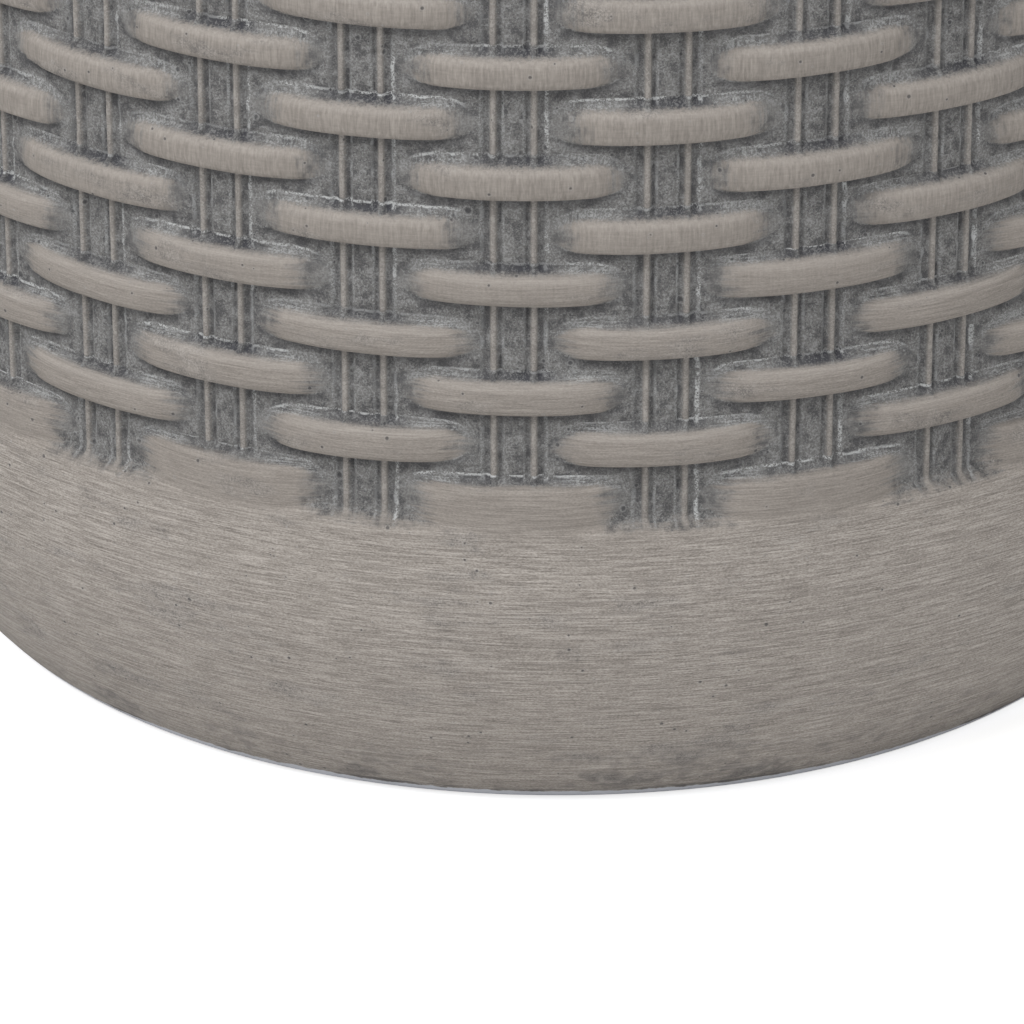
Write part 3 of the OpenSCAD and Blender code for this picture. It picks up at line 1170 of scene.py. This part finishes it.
def clothMaterial():
    material, tree, shader, where = newMaterial("slurryCloth")
    s = Sums(tree)
    parts = partsOf(tree, where)
    around = s.op("ARCTAN2", parts[0], parts[1])
    warp = s.size(s.op("SINE", s.mul(around, cloth["threadsAround"])))
    weft = s.size(s.op("SINE", s.mul(parts[2], cloth["threadsUp"])))
    threads = s.most(warp, weft)
    slurry = noise(tree, where, cloth["slurryScale"], 5.0, 0.6)
    flooded = s.ramp(slurry, *cloth["slurryEdge"])
    specks = useGroup(tree, speckle, {"Vector": where, "Scale": 0.6})
    paint = Paint(s, cloth["dark"])
    paint.over(threads, 0.5, cloth["light"])
    paint.over(flooded, 1.0, cloth["slurry"])
    paint.over(specks["Dark"], 0.4, cloth["speck"])
    relief = s.add(s.mul(threads, s.inverse(flooded)), slurry)
    dress(tree, shader, paint.colour, cloth["roughness"], relief, 0.0008)
    return material


def liningOutline():
    low = drum["padProud"] + drum["footHeight"]
    high = slabBottom - drum["registerHeight"] - drum["registerGap"]
    outside = drum["wall"]
    inside = drum["wall"] + drum["lining"]
    points = [(radiusAt(z, outside), z) for z in evenSteps(low, high, cloth["upSteps"])]
    return points + [(radiusAt(z, inside), z) for z in evenSteps(high, low, cloth["upSteps"])]


lining = turned("fibreLining", liningOutline(), clothMaterial(), cloth["around"])
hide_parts("fibre_lining")
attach(lining, "root")

# The rubber pads, each where the CAD has it

rubber = {
    "dark": (0.018, 0.018, 0.018, 1.0),
    "light": (0.035, 0.035, 0.036, 1.0),
    "roughness": 0.7,
    "grainScale": 500.0,
    "softEdge": 0.0007,
    "chamfer": 0.0003,
    "around": 48,
}
padRubber = plainMaterial("padRubber", rubber)


def padOutline():
    r = drum["padDiameter"] / 2
    top = drum["padThickness"]
    soft = rubber["softEdge"]
    points = [(0.0, 0.0), (r * 0.7, 0.0), (r - soft, 0.0), (r - 0.0002, 0.0002), (r, soft)]
    return points + [(r, top - rubber["chamfer"]), (r - rubber["chamfer"], top), (0.0, top)]


def footPad(index):
    low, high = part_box("foot_pad_%d" % index)
    middle = ((low[0] + high[0]) / 2, (low[1] + high[1]) / 2, 0.0)
    pad = turned("footPad%d" % index, padOutline(), padRubber, rubber["around"])
    pad.data.transform(Matrix.Translation(middle))
    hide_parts("foot_pad_%d" % index)
    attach(pad, "root")


for index in range(1, 5):
    footPad(index)
print("slab, glue line, lining and pads made")


# Camera, floor and light

viewpoint = {
    "distance": 1.8559,     # from the drum's axis, level
    "height": 0.8796,
    "turn": 0.0551,         # round the drum from the front stake, radians
    "aim": -0.0071,
    "tiltDown": 0.4406,
    "roll": -0.0016,
    "lens": 243.1,
}


def placeCamera():
    data = bpy.data.cameras.new("camera")
    camera = putInScene("camera", data)
    data.sensor_width = 36.0
    data.lens = viewpoint["lens"]
    data.clip_start = 0.05
    data.clip_end = 50.0
    tilt = viewpoint["tiltDown"]
    aim = viewpoint["aim"]
    forward = Vector((math.sin(aim) * math.cos(tilt), math.cos(aim) * math.cos(tilt), -math.sin(tilt)))
    right = Vector((math.cos(aim), -math.sin(aim), 0.0))
    upward = right.cross(forward)
    c, s = math.cos(viewpoint["roll"]), math.sin(viewpoint["roll"])
    rolledRight = right * c + upward * s
    rolledUp = upward * c - right * s
    axes = Matrix((rolledRight, rolledUp, -forward)).transposed().to_4x4()
    stand = Matrix.Translation((0.0, -viewpoint["distance"], viewpoint["height"]))
    camera.matrix_world = Matrix.Rotation(viewpoint["turn"], 4, "Z") @ stand @ axes
    scene.camera = camera


placeCamera()

light = {
    "worldStrength": 0.535,
    "key": {"size": 1.5, "power": 40.0, "place": (-0.85, -1.35, 2.2)},
    "fill": {"size": 1.8, "power": 3.0, "place": (1.6, -1.2, 1.0)},
    "target": (0.0, 0.0, 0.2),
    "floorGlow": 0.72,
    "floorColour": 0.80,
    "floorHalfSize": 6.0,
    "floorDrop": 0.0002,
}
white = (1.0, 1.0, 1.0, 1.0)


def areaLight(name, spec):
    data = bpy.data.lights.new(name, "AREA")
    data.size = spec["size"]
    data.energy = spec["power"]
    lamp = putInScene(name, data)
    lamp.location = spec["place"]
    aim = Vector(light["target"]) - Vector(spec["place"])
    lamp.rotation_euler = aim.to_track_quat("-Z", "Y").to_euler()


def whiteWorld():
    # plain white where the camera or a glossy ray sees it, dimmer as a light
    scene.world = bpy.data.worlds.new("studio")
    tree = emptyTree(scene.world)
    s = Sums(tree)
    rays = newNode(tree, "ShaderNodeLightPath").outputs
    seen = s.most(rays["Is Camera Ray"], rays["Is Glossy Ray"])
    brightness = s.add(seen, s.mul(s.inverse(seen), light["worldStrength"]))
    background = newNode(tree, "ShaderNodeBackground", {"Color": white, "Strength": brightness})
    newNode(tree, "ShaderNodeOutputWorld", {0: background.outputs[0]})


def paleFloor():
    # near white to the camera, and still catching the object's shadow
    material = bpy.data.materials.new("paleFloor")
    tree = emptyTree(material)
    s = Sums(tree)
    rays = newNode(tree, "ShaderNodeLightPath").outputs
    grey = light["floorColour"]
    diffuse = newNode(tree, "ShaderNodeBsdfDiffuse", {"Color": (grey, grey, grey, 1.0)})
    glow = s.mul(rays["Is Camera Ray"], light["floorGlow"])
    emission = newNode(tree, "ShaderNodeEmission", {"Color": white, "Strength": glow})
    both = newNode(tree, "ShaderNodeAddShader", {0: diffuse.outputs[0], 1: emission.outputs[0]})
    newNode(tree, "ShaderNodeOutputMaterial", {0: both.outputs[0]})
    half = light["floorHalfSize"]
    corners = [(-half, -half), (half, -half), (half, half), (-half, half)]
    floor = meshObject("floor", [(x, y, -light["floorDrop"]) for x, y in corners], [(0, 1, 2, 3)])
    floor.data.materials.append(material)


areaLight("keyLight", light["key"])
areaLight("fillLight", light["fill"])
whiteWorld()
paleFloor()

print("scene ready")
